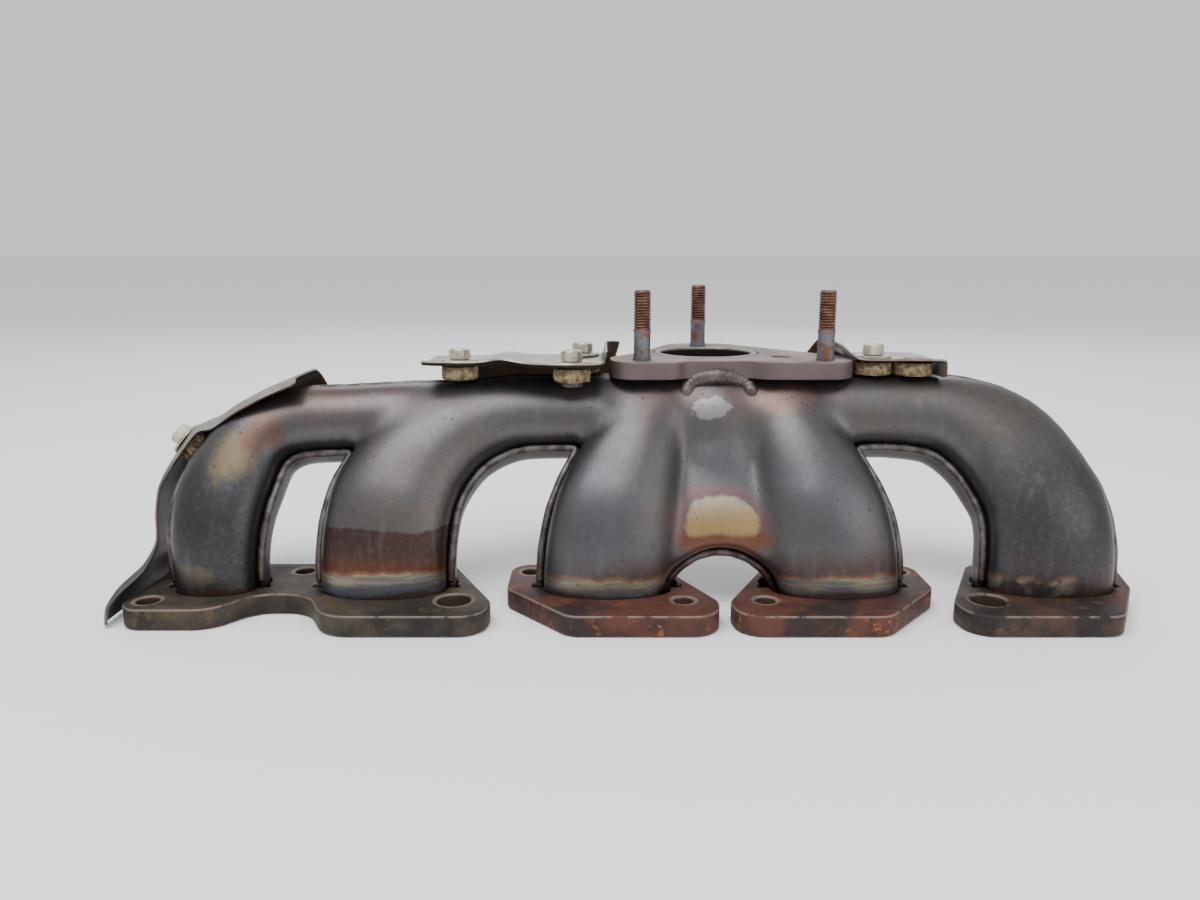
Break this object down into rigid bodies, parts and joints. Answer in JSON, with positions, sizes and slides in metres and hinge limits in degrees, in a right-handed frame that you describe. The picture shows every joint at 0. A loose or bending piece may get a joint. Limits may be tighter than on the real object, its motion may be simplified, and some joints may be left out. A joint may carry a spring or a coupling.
{
  "type": "exhaust manifold",
  "caption": "Sheet-metal exhaust manifold for a turbocharged inline engine, with welded half shells, head flanges, a turbocharger flange with studs and bolted heat shields.",
  "frame": {"origin": "bottom centre of the bounding box, on the plane of the cylinder-head joint", "axes": "+X along the cylinder head towards the end port, +Y towards the turbocharger side, +Z away from the head joint"},
  "size_m": [0.4492, 0.1452, 0.1368],
  "materials": {
    "front_sheet": "satin, dark heat tints and fine speckle",
    "rear_sheet": "satin, dark heat tints",
    "rusty_plate": "matt red-brown rust",
    "dark_plate": "dark scale with olive and orange patches",
    "machined_plate": "machined, mauve heat tint",
    "collar_steel": "turned",
    "stud_steel": "rusty thread",
    "shield_sheet": "aluminised, satin outside",
    "boss_steel": "dark turned steel",
    "mesh_wire": "knitted stainless wire, gold-olive heat tint",
    "washer_steel": "satin",
    "bolt_zinc": "pale zinc flake coat"
  },
  "bodies": {
    "root": {"front_shell": "front_sheet", "rear_shell": "rear_sheet", "double_head_flange": "dark_plate", "head_flange_3": "rusty_plate", "head_flange_4": "rusty_plate", "head_flange_5": "dark_plate", "turbo_flange": "machined_plate", "outlet_collar": "collar_steel", "turbo_stud_1": "stud_steel", "turbo_stud_2": "stud_steel", "turbo_stud_3": "stud_steel", "heat_shield_left": "shield_sheet", "heat_shield_middle": "shield_sheet", "heat_shield_right": "shield_sheet", "boss_left": "boss_steel", "boss_middle_a": "boss_steel", "boss_middle_b": "boss_steel", "boss_middle_c": "boss_steel", "boss_right_a": "boss_steel", "boss_right_b": "boss_steel", "mesh_pad_left": "mesh_wire", "mesh_pad_middle_a": "mesh_wire", "mesh_pad_middle_b": "mesh_wire", "mesh_pad_middle_c": "mesh_wire", "mesh_pad_right_a": "mesh_wire", "mesh_pad_right_b": "mesh_wire", "washer_left": "washer_steel", "washer_middle_a": "washer_steel", "washer_middle_b": "washer_steel", "washer_middle_c": "washer_steel", "washer_right_a": "washer_steel", "bolt_left": "bolt_zinc", "bolt_middle_a": "bolt_zinc", "bolt_middle_b": "bolt_zinc", "bolt_middle_c": "bolt_zinc", "bolt_right_a": "bolt_zinc", "rivet_right_b": "washer_steel"}
  },
  "joints": []
}
